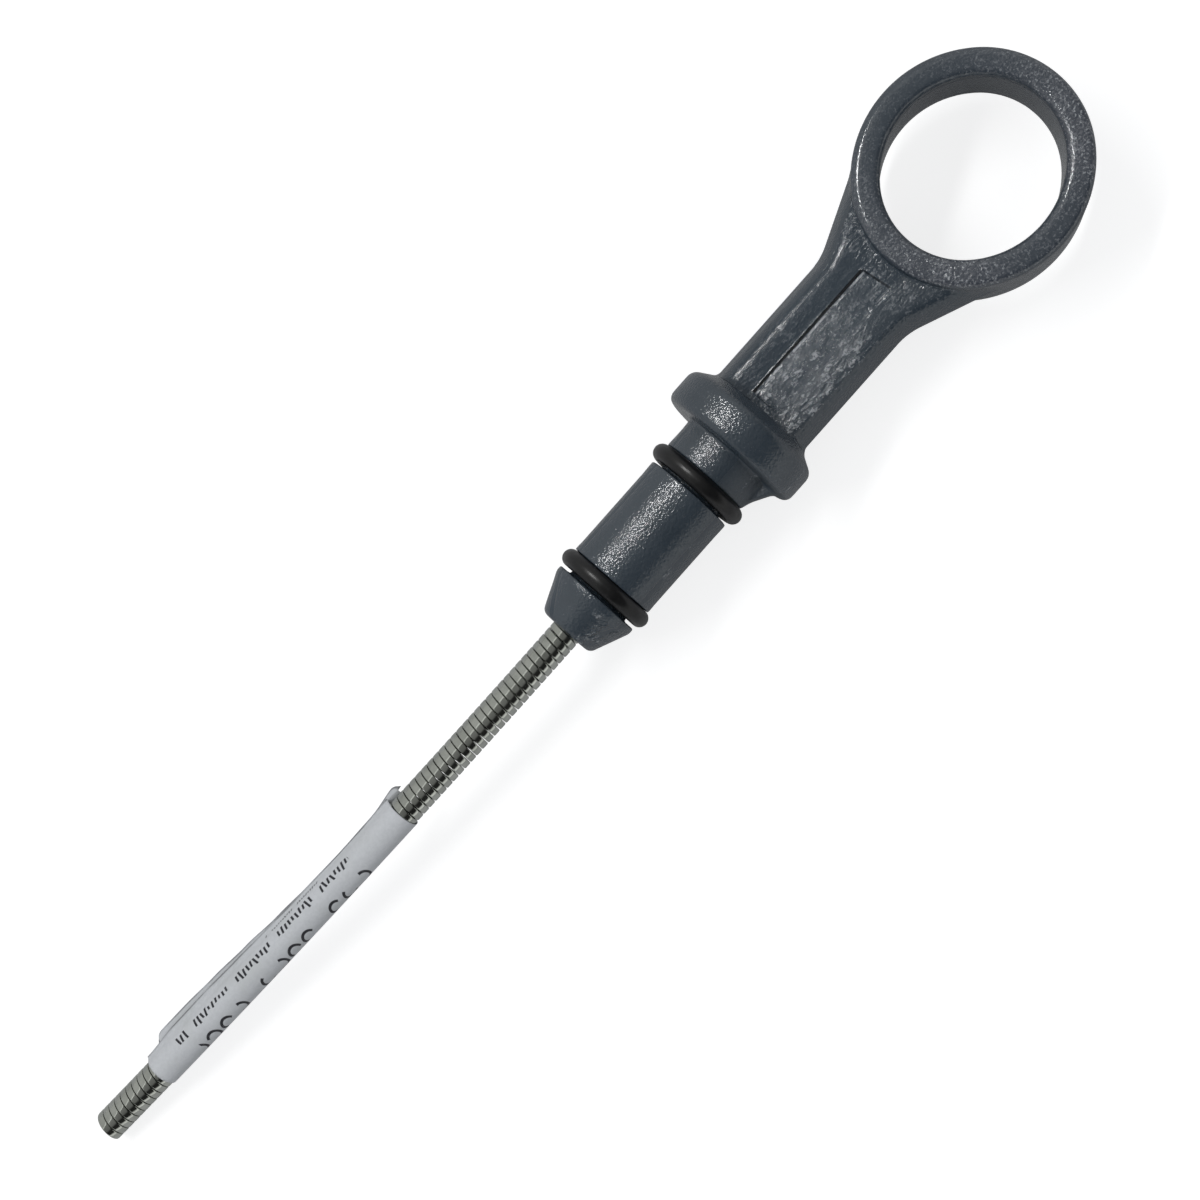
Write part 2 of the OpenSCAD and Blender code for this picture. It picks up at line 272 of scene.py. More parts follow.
class Pattern:
    """Short ways to add pattern nodes to one material's tree."""

    def __init__(self, material):
        self.tree = material.node_tree
        self.place = self.node("ShaderNodeTexCoord").outputs["Object"]

    def node(self, kind, **settings):
        made = self.tree.nodes.new(kind)
        for name, value in settings.items():
            setattr(made, name, value)
        return made

    def link(self, start, end):
        self.tree.links.new(start.socket if isinstance(start, Number) else start, end)

    def stretched(self, scale, turn=(0, 0, 0)):
        """Places on the piece, scaled and turned, so that a noise read there is drawn out one way."""
        mapping = self.node("ShaderNodeMapping")
        mapping.inputs["Scale"].default_value = scale
        mapping.inputs["Rotation"].default_value = turn
        self.link(self.place, mapping.inputs["Vector"])
        return mapping.outputs["Vector"]

    def noise(self, size_mm, detail, roughness=0.55, vector=None):
        texture = self.node("ShaderNodeTexNoise")
        texture.inputs["Scale"].default_value = 1 / (size_mm * MM)
        texture.inputs["Detail"].default_value = detail
        texture.inputs["Roughness"].default_value = roughness
        self.link(vector or self.place, texture.inputs["Vector"])
        return Number(self.tree, texture.outputs["Fac"])

    def split(self, vector):
        apart = self.node("ShaderNodeSeparateXYZ")
        self.link(vector, apart.inputs[0])
        return [Number(self.tree, apart.outputs[axis]) for axis in "XYZ"]

    def chance(self, index):
        """A steady chance number from 0 to 1 for each whole number."""
        step = self.node("ShaderNodeTexWhiteNoise", noise_dimensions="1D")
        self.link(index, step.inputs["W"])
        return Number(self.tree, step.outputs["Value"])

    def mix(self, share, low, high):
        """A colour between two, each of them plain or from another node."""
        step = self.node("ShaderNodeMix", data_type="RGBA")
        self.link(share, step.inputs["Factor"])
        for name, colour in (("A", low), ("B", high)):
            if isinstance(colour, tuple):
                step.inputs[name].default_value = colour + (1.0,)
            else:
                self.link(colour, step.inputs[name])
        return step.outputs["Result"]

    def bump(self, height, depth_mm, strength, under=None):
        step = self.node("ShaderNodeBump")
        step.inputs["Strength"].default_value = strength
        step.inputs["Distance"].default_value = depth_mm * MM
        self.link(height, step.inputs["Height"])
        if under is not None:
            self.link(under, step.inputs["Normal"])
        return step.outputs["Normal"]


# Materials

def handle_scuffs_and_glints(p, x, y, neck_face):
    """Scuffs and painted glints: most on the neck's face by the collar, less at the flare and in patches."""
    flare = x.stretch_mm(*FLARE_SCUFFS_AND_GLINTS) * y.band_mm(-4.5, -9.0, 0.35, 1.0)
    patches = p.noise(5.5, 3.0).band(0.48, 0.64) * 0.65
    scuffs_and_glints = x.stretch_mm(*COLLAR_SCUFFS_AND_GLINTS).at_least(flare.at_least(patches))

    # The strip between the panel's deep edge and the neck's -Y side has few scuffs and painted glints
    off_clean_strip = y.band_mm(-2.8, -2.0).at_least(x.band_mm(-31.0, -34.0))
    scuffs_and_glints = neck_face * (scuffs_and_glints * off_clean_strip.band(0.0, 1.0, 0.18, 1.0))

    # A few marks on the +Y side of the nose
    nose = x.band_mm(28.6, 29.6) * y.band_mm(0.8, 2.5)
    nose = nose * p.noise(2.2, 3.0).band(0.48, 0.6, 0.0, 0.8)
    return scuffs_and_glints.at_least(nose)


def panel_shade_and_glint(p, x, y, z):
    """Painted shade at the panel's deep edge and far end, and a thin painted highlight beside the deep edge.
    """
    above_sides = z.above(2.9 * MM)
    run = x.stretch_mm(PANEL_FAR - 0.1, PANEL_FAR + 0.2, PANEL_NEAR - 0.2, PANEL_NEAR + 0.1)
    on_face = above_sides * run
    deep_edge = (PANEL_SIDE - PANEL_HALF_W) * MM
    edge_shade = abs(y - (deep_edge + 0.02 * MM)).band_mm(0.26, 0.12) * on_face
    skew = (y - PANEL_SIDE * MM) * (PANEL_SKEW / (2 * PANEL_HALF_W))
    from_far_end = abs(x + skew + (PANEL_SKEW / 2 - PANEL_FAR) * MM)
    over_panel = abs(y - PANEL_SIDE * MM).band_mm(PANEL_HALF_W, PANEL_HALF_W - 0.3)
    far_end_shade = from_far_end.band_mm(0.2, 0.08) * over_panel * above_sides
    # A thin painted highlight beside the deep edge
    line = abs(y - (deep_edge + 0.46 * MM)).band_mm(0.2, 0.08) * on_face
    return edge_shade.at_least(far_end_shade * 0.7), line * p.noise(1.2, 3.0).band(0.38, 0.52)


def handle_plastic():
    """Slate-grey moulded plastic: a grain that breaks a highlight into specks, scuffs with painted glints,
    and a panel lined with painted shade.
    """
    material, shader = new_material("handle_plastic")
    p = Pattern(material)
    x, y, z = p.split(p.place)
    neck_face = abs(z).band_mm(3.2, 3.5) * abs(z).band_mm(4.2, 3.9)
    ring_face = abs(z).band_mm(4.3, 5.0) * x.below(-34.0 * MM)
    colour = p.mix(p.noise(11.0, 3.0).band(0.35, 0.65), SLATE_DARK, SLATE_PALE)

    # Short streaks along the handle in the scuffs, raised enough to catch the light, and painted pale as wear
    # and as painted glints
    scuffs_and_glints = handle_scuffs_and_glints(p, x, y, neck_face)
    streaks = p.noise(0.8, 4.0, 0.6, p.stretched((0.45, 1.0, 1.0), (0, 0, 0.25)))
    wear_and_glint = streaks.band(0.52, 0.62) * scuffs_and_glints * p.noise(0.45, 3.0).band(0.40, 0.54)
    colour = p.mix(wear_and_glint * 0.85, colour, WEAR_AND_GLINT_BRIGHT)

    # Specks of worn grain, painted pale as wear and as painted glints: thick on the finger ring's faces,
    # towards its two ends and its +Y side, and thin elsewhere. The ring's faces towards its ends and +Y side
    # are also lifted to a paler grey as a painted sheen.
    ends = ring_face * abs(x + RING_REACH * MM).band_mm(4.0, 13.0, 0.35, 1.0)
    ends = ends * y.band_mm(-11.0, 9.0, 0.35, 1.0)
    fine = p.noise(0.38, 3.0, 0.65)
    clusters = p.noise(2.6, 4.0)
    few = fine.band(0.60, 0.70) * clusters.band(0.50, 0.62)
    many = fine.band(0.46, 0.64) * clusters.band(0.34, 0.56)
    colour = p.mix(ends * 0.6, colour, RING_END_SHEEN_GREY)
    colour = p.mix(few * 0.55, colour, WEAR_AND_GLINT_PALE)
    colour = p.mix(many * ends * 0.9, colour, RING_GLINT_GREY)

    # Small sharp specks on those faces and in the scuffs: painted glints
    glints_on_ends = p.noise(0.42, 2.0).band(0.58, 0.66) * ends
    glints_in_scuffs = p.noise(0.3, 2.0).band(0.62, 0.70) * scuffs_and_glints
    colour = p.mix(glints_on_ends.at_least(glints_in_scuffs) * 0.8, colour, WEAR_AND_GLINT_BRIGHT)

    # Painted shade along the panel's deep edge and far end, and a thin painted highlight beside the deep edge
    edge_shade, line = panel_shade_and_glint(p, x, y, z)
    colour = p.mix(edge_shade * 0.9, colour, PANEL_EDGE_SHADE)
    p.link(p.mix(line * 0.85, colour, WEAR_AND_GLINT_BRIGHT), shader.inputs["Base Color"])

    # The moulded grain, and a rougher skin beside the rib, where a sharper shine leaves dark slits
    grain = p.noise(0.4, 2.0, 0.6)
    beside_rib = x.stretch_mm(*RIB_ROUGH_RUN) * y.band_mm(1.5, 4.0, 0.0, 0.5)
    p.link(grain.band(0.3, 0.7, 0.13, 0.21).at_least(beside_rib), shader.inputs["Roughness"])
    shader.inputs["IOR"].default_value = 1.8

    # The neck's flat face shines less, apart from its +Y edge
    duller = neck_face * y.band_mm(3.2, 2.2)
    p.link(duller.band(0.0, 1.0, 0.5, 0.27), shader.inputs["Specular IOR Level"])

    # The grain stands up least on the flat faces, but is kept where the finger ring is worn
    smoother = neck_face.at_least(ring_face) - ends * 0.7
    rough = p.bump(grain * smoother.band(0.0, 1.0, 1.0, 0.25), 0.13, 1.0)
    p.link(p.bump(streaks * scuffs_and_glints, 0.6, 0.75, rough), shader.inputs["Normal"])
    return material


def ring_rubber():
    """Black nitrile rubber with a satin skin and a trace of dust."""
    material, shader = new_material("ring_rubber")
    p = Pattern(material)
    dust = p.noise(1.1, 5.0, 0.65).band(0.55, 0.8)
    p.link(p.mix(dust, RUBBER_BLACK, RUBBER_DUST), shader.inputs["Base Color"])
    p.link(p.noise(0.8, 3.0).band(0.3, 0.7, 0.30, 0.40), shader.inputs["Roughness"])
    p.link(p.bump(p.noise(0.25, 3.0), 0.01, 0.35), shader.inputs["Normal"])
    return material


def rod_steel():
    """Bright drawn spring wire with faint rolling marks and a thin film of oil."""
    material, shader = new_material("rod_steel")
    p = Pattern(material)
    tarnish = p.noise(3.0, 4.0).band(0.35, 0.75)
    p.link(p.mix(tarnish, STEEL_BRIGHT, STEEL_TARNISH), shader.inputs["Base Color"])
    shader.inputs["Metallic"].default_value = 1.0
    marks = p.noise(0.35, 3.0, 0.6, p.stretched((2.6, 0.5, 0.5)))
    p.link(marks.band(0.3, 0.7, 0.08, 0.14), shader.inputs["Roughness"])
    p.link(p.bump(marks, 0.008, 0.4), shader.inputs["Normal"])
    return material


def print_strokes(p, along_mm, round_mm, run, rows, pitch, stroke, seed):
    """A row of plain short strokes, upright or leaning, of uneven length, with a short gap after each few."""
    tall = (round_mm - rows[0]) / (rows[1] - rows[0])
    marks = None
    for turn in (0, 1):
        cell = along_mm / pitch + 0.5 * turn
        index = cell.floor()
        within = (cell.fract() - 0.5) * pitch
        lean = (p.chance(index + (seed + 7.3 * turn)) - 0.5) * (pitch * 0.6)
        centre = lean * (tall - 0.5)
        on_stroke = abs(within - centre).below(stroke / 2)
        foot = p.chance(index + (seed + 31.7 + turn)) * 0.4
        top = p.chance(index + (seed + 57.1 + turn)) * 0.3 + 0.7
        between = tall.above(foot) * tall.below(top)
        kept = ((index + seed) % 6.0).above(0.5)
        mark = on_stroke * between * kept
        marks = mark if marks is None else marks.at_least(mark)
    return marks * (along_mm.above(run[0]) * along_mm.below(run[1]))


def print_curves(p, along_mm, round_mm, run, rows, pitch, stroke, seed):
    """A row of plain curved strokes, each a part of an oval's outline, turned by chance."""
    cell = along_mm / pitch
    index = cell.floor()
    wide = pitch * 0.36
    high = (rows[1] - rows[0]) / 2 - stroke / 2
    u = (cell.fract() - 0.5) * (pitch / wide)
    v = (round_mm - (rows[0] + rows[1]) / 2) / high
    from_middle = (u * u + v * v).sqrt()
    on_oval = abs(from_middle - 1.0).below(stroke / (wide + high))
    bearing = p.chance(index + seed) * (2 * math.pi)
    turned = u * bearing.cos() + v * bearing.sin()
    kept = turned.above(-0.25) * p.chance(index + (seed + 40.5)).above(0.12)
    return on_oval * kept * (along_mm.above(run[0]) * along_mm.below(run[1]))


def label_paper():
    """Pale label paper with fibres and soft creases, and rows of plain dark strokes."""
    material, shader = new_material("label_paper")
    p = Pattern(material)
    fibre = p.noise(0.5, 5.0, 0.65)
    mottled = p.noise(5.0, 3.0)
    paper = p.mix(fibre.band(0.3, 0.7), PAPER_SHADE, PAPER_WHITE)
    paper = p.mix(mottled.band(0.45, 0.75) * 0.5, paper, PAPER_MOTTLE)
    along_mm, round_mm, _ = p.split(p.node("ShaderNodeUVMap", uv_map="paper_mm").outputs["UV"])
    small = print_strokes(p, along_mm, round_mm, **SMALL_PRINT)
    large = print_curves(p, along_mm, round_mm, **LARGE_PRINT)
    faint = print_strokes(p, along_mm, round_mm, **FAINT_PRINT)
    ink = small.at_least(large).at_least(faint * 0.75)
    worn_ink = ink * fibre.band(0.2, 0.45, 0.7, 1.0)

    # The underside, from the +Y side round under the rod, is darkened as painted shade, and a thin painted
    # shadow line runs along the paper's two cut edges
    under = round_mm.band(0.3, -0.3) * round_mm.band(-6.4, -5.0)
    paper = p.mix(under * 0.7, paper, PAPER_UNDERSIDE_SHADE)
    from_over, from_under, _ = p.split(p.node("ShaderNodeUVMap", uv_map="edge_mm").outputs["UV"])
    # A thin painted shadow line along both cut edges
    cut = from_over.band(0.3, 0.04).at_least(from_under.band(0.3, 0.04))
    paper = p.mix(cut * mottled.band(0.35, 0.6, 0.35, 0.8), paper, PAPER_EDGE_SHADOW)
    p.link(p.mix(worn_ink, paper, PRINT_BLACK), shader.inputs["Base Color"])
    shader.inputs["Roughness"].default_value = 0.5
    crease = p.noise(4.0, 3.0, 0.5, p.stretched((0.5, 1.0, 1.0)))
    p.link(p.bump(fibre, 0.012, 0.4, p.bump(crease, 0.15, 0.5)), shader.inputs["Normal"])
    return material


HANDLE_PLASTIC = handle_plastic()
RING_RUBBER = ring_rubber()
ROD_STEEL = rod_steel()
LABEL_PAPER = label_paper()


# Meshes

def mesh_piece(name, points_mm, faces, material):
    """A smooth-shaded object at the origin, with its place in its mesh."""
    mesh = bpy.data.meshes.new(name)
    mesh.from_pydata((np.asarray(points_mm) * MM).tolist(), [], [list(map(int, face)) for face in faces])
    mesh.shade_smooth()
    mesh.materials.append(material)
    piece = bpy.data.objects.new(name, mesh)
    bpy.context.scene.collection.objects.link(piece)
    return piece


def add_piece(piece, node):
    """Puts a piece on the part's one body, in place of its CAD node."""
    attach(piece, "root")
    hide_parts(node)


def unit(vector):
    return vector / np.linalg.norm(vector)


# The handle is one moulding, so it is shaped as one field of distances: below nought is plastic. What is
# turned comes from a table of distances by radius. Its outline reaches past the axis, so that the axis lies
# inside it.

VOXEL = 0.18
FIELD_LOW = np.array((-71.1, -17.4, -12.0))
FIELD_HIGH = np.array((35.2, 17.4, 12.0))
FAR_OFF = 1e9
FLAT_MERGE = 0.02
TURNED_STEP = 0.1
TURNED_REACH = 24
PAST_AXIS = -2.0


def rounded(corners, steps=6):
    """An outline whose corners are rounded: each corner is (x, y, radius)."""
    outline = []
    for i, (x, y, radius) in enumerate(corners):
        here = np.array((x, y), float)
        if radius == 0:
            outline.append(here)
            continue
        u = unit(np.array(corners[i - 1][:2]) - here)
        v = unit(np.array(corners[(i + 1) % len(corners)][:2]) - here)
        half = math.acos(np.clip(u @ v, -1, 1)) / 2
        middle = here + unit(u + v) * radius / math.sin(half)
        first = here + u * radius / math.tan(half) - middle
        last = here + v * radius / math.tan(half) - middle
        start = math.atan2(first[1], first[0])
        sweep = (math.atan2(last[1], last[0]) - start + math.pi) % (2 * math.pi) - math.pi
        for k in range(steps + 1):
            angle = start + sweep * k / steps
            outline.append(middle + radius * np.array((math.cos(angle), math.sin(angle))))
    return np.array(outline)


def outline_distance(outline, x, y):
    """The distance of each point from a closed outline, negative inside it."""
    nearest = np.full(np.broadcast(x, y).shape, FAR_OFF, np.float32)
    inside = np.zeros(nearest.shape, bool)
    for (ax, ay), (bx, by) in zip(outline, np.roll(outline, -1, axis=0)):
        dx, dy = bx - ax, by - ay
        length2 = dx * dx + dy * dy
        if length2 == 0:
            continue
        share = np.clip(((x - ax) * dx + (y - ay) * dy) / length2, 0, 1)
        nearest = np.minimum(nearest, (x - ax - share * dx) ** 2 + (y - ay - share * dy) ** 2)
        if ay != by:
            crosses = (ay > y) != (by > y)
            inside ^= crosses & (x < ax + (y - ay) * dx / dy)
    return np.where(inside, -1, 1) * np.sqrt(nearest)


def joined(a, b, blend):
    """The union of two fields, with a fillet about as wide as the blend."""
    near = np.maximum(blend - np.abs(a - b), 0) / blend
    return np.minimum(a, b) - near * near * blend / 4


def common(a, b, blend):
    return -joined(-a, -b, blend)


def oval_radius(x, y):
    """Half the width of the oval, of four quarter turns round the finger ring's middle, through a point."""
    along, across = np.abs(x + RING_REACH), np.abs(y)
    end_turn = np.hypot(along - OVAL_SHIFT, across) + OVAL_SHIFT - RING_STRETCH / 2
    side_turn = np.hypot(along, across + OVAL_SHIFT) - OVAL_SHIFT
    return np.where(along - OVAL_SHIFT > across, end_turn, side_turn)


def ring_field(x, y, z):
    """The finger ring with its rounded edges, and the oval that each point lies on."""
    out = oval_radius(x, y)
    half_wall = (RING_OUTER_R - RING_HOLE_R) / 2 - RING_EDGE_R
    side = np.abs(out - (RING_OUTER_R + RING_HOLE_R) / 2) - half_wall
    face = np.abs(z) - (RING_DEPTH / 2 - RING_EDGE_R)
    corner = np.hypot(np.maximum(side, 0), np.maximum(face, 0))
    return corner + np.minimum(np.maximum(side, face), 0) - RING_EDGE_R, out


def neck_field(x, y, z, ring_out):
    """The neck: a bar with a draft on its sides, and a flare on each side that runs out to touch the ring."""
    flare_r = RING_OUTER_R + OVAL_SHIFT - FLARE_BITE
    run, rise = RING_REACH - NECK_REACH, NECK_HALF_W + OVAL_SHIFT
    bearing = math.atan2(rise, run) + math.acos(flare_r / math.hypot(run, rise))
    strip = np.abs(y) - NECK_HALF_W
    wedge = (np.abs(y) - NECK_HALF_W) * math.sin(bearing) + (x + NECK_REACH) * math.cos(bearing)
    wide = joined(strip, wedge, NECK_CORNER_BLEND)
    slope = math.atan2(NECK_DRAFT, NECK_HALF_D)
    side = wide * math.cos(slope) + np.abs(z) * math.sin(slope)
    bar = common(side, np.abs(z) - NECK_HALF_D, NECK_FACE_BLEND)
    flare_end = -RING_REACH + flare_r * math.cos(bearing)
    ends = np.maximum(flare_end - x, x + COLLAR_RIM / 2)
    return np.maximum(np.maximum(bar, ends), RING_HOLE_R + RING_EDGE_R - ring_out)


def turned_field(xs, radius):
    """Collar, plug, grooves, nose and the hole for the rod, turned about the axis."""
    upper_floor = UPPER_RING_R - 2 * CORD_R - RUBBER_GAP
    lower_floor = LOWER_RING_R - 2 * CORD_R - RUBBER_GAP
    outline = rounded([
        (-COLLAR_RIM - COLLAR_RISE, PAST_AXIS, 0),
        (-COLLAR_RIM - COLLAR_RISE, NECK_HALF_W, COLLAR_NECK_EDGE_R),
        (-COLLAR_RIM, COLLAR_R, COLLAR_TOP_EDGE_R),
        (0, COLLAR_R, COLLAR_SEAT_EDGE_R),
        (0, PLUG_R, PLUG_ROOT_R),
        (UPPER_GROOVE, PLUG_R, GROOVE_EDGE_R),
        (UPPER_GROOVE, upper_floor, GROOVE_EDGE_R),
        (UPPER_GROOVE + GROOVE_WIDTH, upper_floor, GROOVE_EDGE_R),
        (UPPER_GROOVE + GROOVE_WIDTH, PLUG_R, GROOVE_EDGE_R),
        (LOWER_GROOVE, PLUG_R, GROOVE_EDGE_R),
        (LOWER_GROOVE, lower_floor, GROOVE_EDGE_R),
        (LOWER_GROOVE + GROOVE_WIDTH, lower_floor, GROOVE_EDGE_R),
        (LOWER_GROOVE + GROOVE_WIDTH, PLUG_R, NOSE_LIP_R),
        (LOWER_GROOVE + GROOVE_WIDTH + NOSE_LAND, PLUG_R, NOSE_SHOULDER_R),
        (NOSE_X, NOSE_TIP_R, NOSE_EDGE_R),
        (NOSE_X, ROD_R + ROD_GAP, HOLE_EDGE_R),
        (NOSE_X - ROD_GRIP, ROD_R + ROD_GAP, 0),
        (NOSE_X - ROD_GRIP, PAST_AXIS, 0),
    ])
    radii = np.arange(0, TURNED_REACH, TURNED_STEP)
    table = outline_distance(outline, xs[:, None], radii[None, :]).astype(np.float32)
    low = np.floor(radius / TURNED_STEP).astype(int)
    share = (radius / TURNED_STEP - low).astype(np.float32)
    return table[:, low] * (1 - share) + table[:, low + 1] * share


def rib_field(x, y, z):
    """The small rib under the collar, on the plug's +Y side."""
    outline = np.array([
        (-COLLAR_RIM / 2, 0),
        (-COLLAR_RIM / 2, PLUG_R + RIB_OUT),
        (0, PLUG_R + RIB_OUT),
        (RIB_LENGTH, PLUG_R - RIB_FOOT_DEPTH),
        (RIB_LENGTH, RIB_INSIDE_R),
        (0, RIB_INSIDE_R),
        (0, 0),
    ])
    flat = outline_distance(outline, x, y)
    return common(flat, np.abs(z) - RIB_THICKNESS / 2, RIB_EDGE_BLEND)


def panel_field(x, y, z):
    """The sunk panel: its far end is skewed, and its floor slopes up from its -Y edge to its +Y edge."""
    across = (y - PANEL_SIDE) / (2 * PANEL_HALF_W) + 0.5
    far = PANEL_FAR - PANEL_SKEW * across
    mid_x, half_x = (PANEL_NEAR + far) / 2, (PANEL_NEAR - far) / 2 - PANEL_CORNER_R
    dx = np.abs(x - mid_x) - half_x
    dy = np.abs(y - PANEL_SIDE) - (PANEL_HALF_W - PANEL_CORNER_R)
    corner = np.hypot(np.maximum(dx, 0), np.maximum(dy, 0))
    flat = corner + np.minimum(np.maximum(dx, dy), 0) - PANEL_CORNER_R
    sink = PANEL_SINK + (PANEL_SHALLOW_SINK - PANEL_SINK) * across
    return np.maximum(flat, NECK_HALF_D - sink - z)


def handle_piece():
    """The whole moulding, as a mesh of the surface where its field is nought."""
    counts = np.ceil((FIELD_HIGH - FIELD_LOW) / VOXEL).astype(int) + 1
    xs, ys, zs = (FIELD_LOW[i] + VOXEL * np.arange(counts[i]) for i in range(3))
    x = xs[:, None, None].astype(np.float32)
    y = ys[None, :, None].astype(np.float32)
    z = zs[None, None, :].astype(np.float32)
    ring, ring_out = ring_field(x, y, z)
    neck = common(neck_field(x, y, z, ring_out), -panel_field(x, y, z), PANEL_EDGE_BLEND)
    field = joined(ring, neck, RING_ROOT_BLEND)
    turned = turned_field(xs.astype(np.float32), np.hypot(ys[:, None], zs[None, :]))
    turned = joined(turned, rib_field(x, y, z), RIB_ROOT_BLEND)
    field = joined(field, turned, COLLAR_ROOT_BLEND)

    # Only the distances within three voxels of the surface are kept
    reach = 3 * VOXEL
    field = np.clip(field, -reach, reach).astype(np.float32)
    grid = openvdb.FloatGrid(reach)
    grid.copyFromArray(field)
    grid.transform = openvdb.createLinearTransform(voxelSize=VOXEL)
    points, triangles, quads = grid.convertToPolygons(isovalue=0.0, adaptivity=FLAT_MERGE)
    faces = [list(face) for face in triangles] + [list(face) for face in quads]
    return mesh_piece("moulded_handle", points + FIELD_LOW, faces, HANDLE_PLASTIC)


# The rubber rings

def rubber_ring_piece(name, outside_r, groove_x, turns=192, sides=36):
    """A ring of round cord, lying in its groove at its free size."""
    middle_x = groove_x + CORD_R + RUBBER_GAP
    points = []
    for i in range(turns):
        around = 2 * math.pi * i / turns
        for j in range(sides):
            angle = 2 * math.pi * j / sides
            radius = outside_r - CORD_R + CORD_R * math.cos(angle)
            points.append((
                middle_x + CORD_R * math.sin(angle),
                radius * math.cos(around),
                radius * math.sin(around),
            ))
    faces = []
    for i in range(turns):
        for j in range(sides):
            a, b = i * sides, (i + 1) % turns * sides
            k = (j + 1) % sides
            faces.append((a + j, b + j, b + k, a + k))
    return mesh_piece(name, points, faces, RING_RUBBER)


# The sprung rod: Geometry Nodes bend one straight bar of flat wire into the coil, and the coil along the rod

def coil_tree():
    """A bar of flat wire along X, one unit long for each turn, wound into the coil and bent with the rod."""
    tree = bpy.data.node_groups.new("flat_wire_coil", "GeometryNodeTree")
    sizes = (
        ("Turns", 10.0),
        ("Turn pitch", 1.0),
        ("Rod radius", 2.0),
        ("Wire width", 1.0),
        ("Wire thickness", 0.5),
        ("Wire edge radius", 0.2),
        ("First turn", 0.0),
        ("Nose", 0.0),
        ("Arc radius", 100.0),
        ("Lean", 0.0),
    )
    for name, value in sizes:
        socket = tree.interface.new_socket(name, in_out="INPUT", socket_type="NodeSocketFloat")
        socket.default_value = value
    steps = tree.interface.new_socket("Steps along the wire", in_out="INPUT", socket_type="NodeSocketInt")
    steps.default_value = 100
    tree.interface.new_socket("Finish", in_out="INPUT", socket_type="NodeSocketMaterial")
    tree.interface.new_socket("Geometry", in_out="OUTPUT", socket_type="NodeSocketGeometry")
    add = tree.nodes.new
    link = tree.links.new
    given = add("NodeGroupInput")
    size = {name: Number(tree, given.outputs[name]) for name, _ in sizes}

    # The bar of wire, with its long edges rounded and its two ends closed
    line = add("GeometryNodeCurvePrimitiveLine")
    line_end = add("ShaderNodeCombineXYZ")
    link(size["Turns"].socket, line_end.inputs["X"])
    link(line_end.outputs[0], line.inputs["End"])
    resample = add("GeometryNodeResampleCurve")
    link(line.outputs["Curve"], resample.inputs["Curve"])
    link(given.outputs["Steps along the wire"], resample.inputs["Count"])
    section = add("GeometryNodeCurvePrimitiveQuadrilateral")
    link(size["Wire width"].socket, section.inputs["Width"])
    link(size["Wire thickness"].socket, section.inputs["Height"])
    fillet = add("GeometryNodeFilletCurve")
    fillet.mode = "POLY"
    fillet.inputs["Count"].default_value = WIRE_EDGE_STEPS
    link(section.outputs["Curve"], fillet.inputs["Curve"])
    link(size["Wire edge radius"].socket, fillet.inputs["Radius"])
    bar = add("GeometryNodeCurveToMesh")
    bar.inputs["Fill Caps"].default_value = True
    link(resample.outputs["Curve"], bar.inputs["Curve"])
    link(fillet.outputs["Curve"], bar.inputs["Profile Curve"])

    # Each point of the bar is wound about the rod's axis
    place = add("GeometryNodeInputPosition")
    apart = add("ShaderNodeSeparateXYZ")
    link(place.outputs[0], apart.inputs[0])
    turn, side, out = (Number(tree, apart.outputs[axis]) for axis in "XYZ")
    angle = turn * (-2 * math.pi)
    radius = size["Rod radius"] - size["Wire thickness"] * 0.5 + out
    run = size["First turn"] + size["Turn pitch"] * turn + size["Wire width"] * 0.5 + side
    y = radius * angle.cos()
    z = radius * angle.sin()

    # Then it is bent with the rod, straight as far as the nose and on an arc beyond it
    bend = run.at_least(0.0) / size["Arc radius"]
    lean_sin, lean_cos = size["Lean"].sin(), size["Lean"].cos()
    down = (y * lean_sin + z * lean_cos) * -1.0
    across = z * lean_sin - y * lean_cos
    fall = size["Arc radius"] * (bend.cos() * -1.0 + 1.0) + down * bend.cos()
    ahead = size["Nose"] + run.at_most(0.0) + (size["Arc radius"] - down) * bend.sin()
    sideways = (fall * lean_sin + across * lean_cos) * -1.0
    height = across * lean_sin - fall * lean_cos
    together = add("ShaderNodeCombineXYZ")
    for axis, value in zip("XYZ", (ahead, sideways, height)):
        link((value * MM).socket, together.inputs[axis])

    # Winding turns the bar inside out, so its faces are flipped
    wound = add("GeometryNodeSetPosition")
    link(bar.outputs["Mesh"], wound.inputs["Geometry"])
    link(together.outputs[0], wound.inputs["Position"])
    real = add("GeometryNodeRealizeInstances")
    link(wound.outputs["Geometry"], real.inputs["Geometry"])
    outward = add("GeometryNodeFlipFaces")
    link(real.outputs["Geometry"], outward.inputs["Mesh"])
    smooth = add("GeometryNodeSetShadeSmooth")
    link(outward.outputs["Mesh"], smooth.inputs["Geometry"])
    finish = add("GeometryNodeSetMaterial")
    link(smooth.outputs["Geometry"], finish.inputs["Geometry"])
    link(given.outputs["Finish"], finish.inputs["Material"])
    output = add("NodeGroupOutput")
    link(finish.outputs["Geometry"], output.inputs["Geometry"])
    return tree


